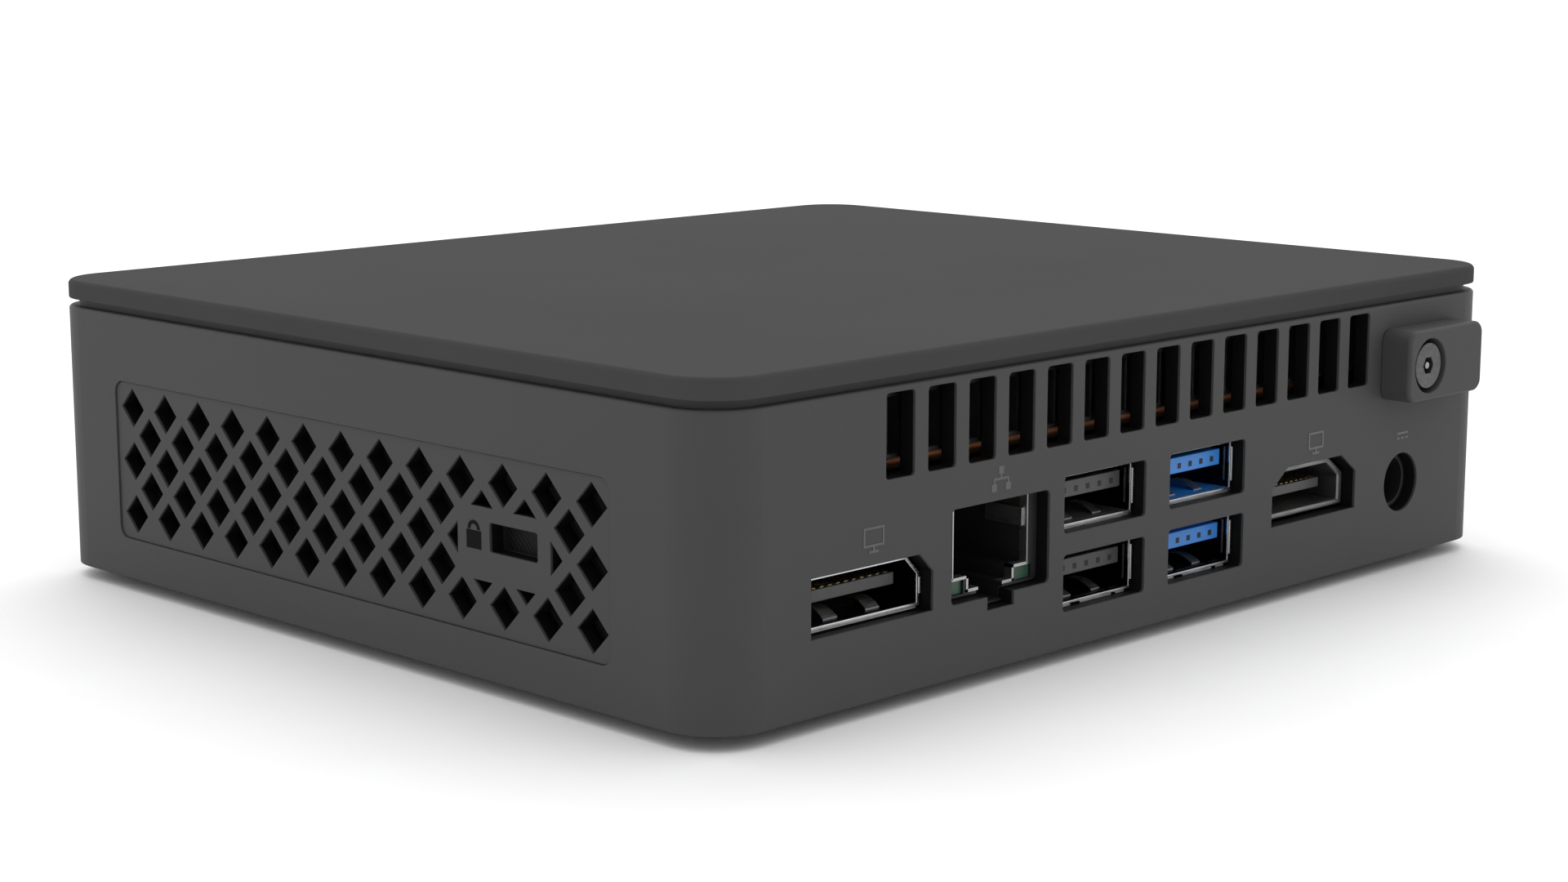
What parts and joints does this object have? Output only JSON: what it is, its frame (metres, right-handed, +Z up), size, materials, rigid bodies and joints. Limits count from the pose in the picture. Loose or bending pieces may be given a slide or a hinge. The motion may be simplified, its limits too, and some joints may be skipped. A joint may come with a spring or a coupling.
{
  "type": "mini pc",
  "caption": "Flat round-cornered mini computer with a lift-off lid, diamond side grilles, rear vents and sockets, power button, inner board, fan and base cover.",
  "frame": {"origin": "centre of the whole object's box, on the plane that its feet stand on", "axes": "+Z up, +Y out of the rear sockets, +X towards the side with the lock slot"},
  "size_m": [0.135, 0.119, 0.036],
  "materials": {
    "case_plastic": "fine matte texture",
    "base_plastic": "matte",
    "grille_plastic": "fine matte texture",
    "rubber": "matte",
    "steel": "bright tin-plated sheet",
    "screw_steel": "machined",
    "dark_steel": "black zinc",
    "socket_black": "moulded, matte",
    "socket_blue": "moulded, satin",
    "gold_contact": "gold-plated",
    "print_black": "printed ink",
    "print_grey": "printed ink",
    "board_green": "solder mask",
    "card_blue": "solder mask",
    "light_guide": "translucent",
    "light_green": "translucent",
    "button_plastic": "satin",
    "copper": "bare copper",
    "fin_metal": "bare fins",
    "fan_plastic": "moulded",
    "chip_black": "moulded package",
    "silicon": "substrate and die",
    "ferrite": "ferrite",
    "antenna_film": "copper on film"
  },
  "bodies": {
    "chassis": {"shell": "case_plastic", "grille_right": "grille_plastic", "grille_left": "grille_plastic", "lock_plate": "dark_steel", "lock_mark": "print_black", "port_marks": "print_grey", "motherboard": "board_green", "board_screws": "screw_steel", "monitor_socket_shell": "steel", "monitor_socket_insert": "socket_black", "network_jack_shield": "steel", "network_jack_housing": "socket_black", "network_jack_contacts": "gold_contact", "network_jack_lights": "light_green", "usb2_stack_shell": "steel", "usb2_stack_insert": "socket_black", "usb3_stack_shell": "steel", "usb3_stack_insert": "socket_blue", "video_socket_shell": "steel", "video_socket_insert": "socket_black", "power_jack_housing": "socket_black", "power_jack_contacts": "steel", "retaining_block": "case_plastic", "retaining_screw": "dark_steel", "front_usb_shells": "steel", "front_usb_inserts": "socket_blue", "audio_jack": "socket_black", "status_light": "light_guide", "button_light_ring": "light_guide", "button_switch": "socket_black", "processor": "silicon", "heat_spreader": "copper", "heat_pipe": "copper", "fin_stack": "fin_metal", "fan_housing": "fan_plastic", "fan_cover": "fan_plastic", "cooling_screws": "screw_steel", "memory_sockets": "socket_black", "memory_modules": "board_green", "memory_chips": "chip_black", "drive_socket": "socket_black", "solid_state_drive": "card_blue", "wireless_socket": "socket_black", "wireless_card": "board_green", "card_standoffs": "gold_contact", "card_screws": "screw_steel", "antennas": "antenna_film", "coin_cell_holder": "socket_black", "coin_cell": "steel", "board_coils": "ferrite", "board_chips": "chip_black"},
    "base": {"base_cover": "base_plastic", "base_screws": "screw_steel", "rubber_feet": "rubber"},
    "power_button": {"power_button": "button_plastic", "switch_plunger": "light_guide"},
    "fan": {"fan_impeller": "fan_plastic"},
    "lid": {"lid": "case_plastic"}
  },
  "joints": [
    {"name": "case_lift", "type": "slide", "parent": "base", "child": "chassis", "axis": [0, 0, 1], "range_m": [0, 0.03]},
    {"name": "button_press", "type": "slide", "parent": "chassis", "child": "power_button", "axis": [0, 1, 0], "range_m": [0, 0.0006], "stiffness_N_per_m": 1500, "springref_m": -0.0004},
    {"name": "fan_spin", "type": "hinge", "parent": "chassis", "child": "fan", "pos_m": [0.014, 0.006, 0.027], "axis": [0, 0, 1], "continuous": true},
    {"name": "lid_lift", "type": "slide", "parent": "chassis", "child": "lid", "axis": [0, 0, 1], "range_m": [0, 0.03]}
  ]
}
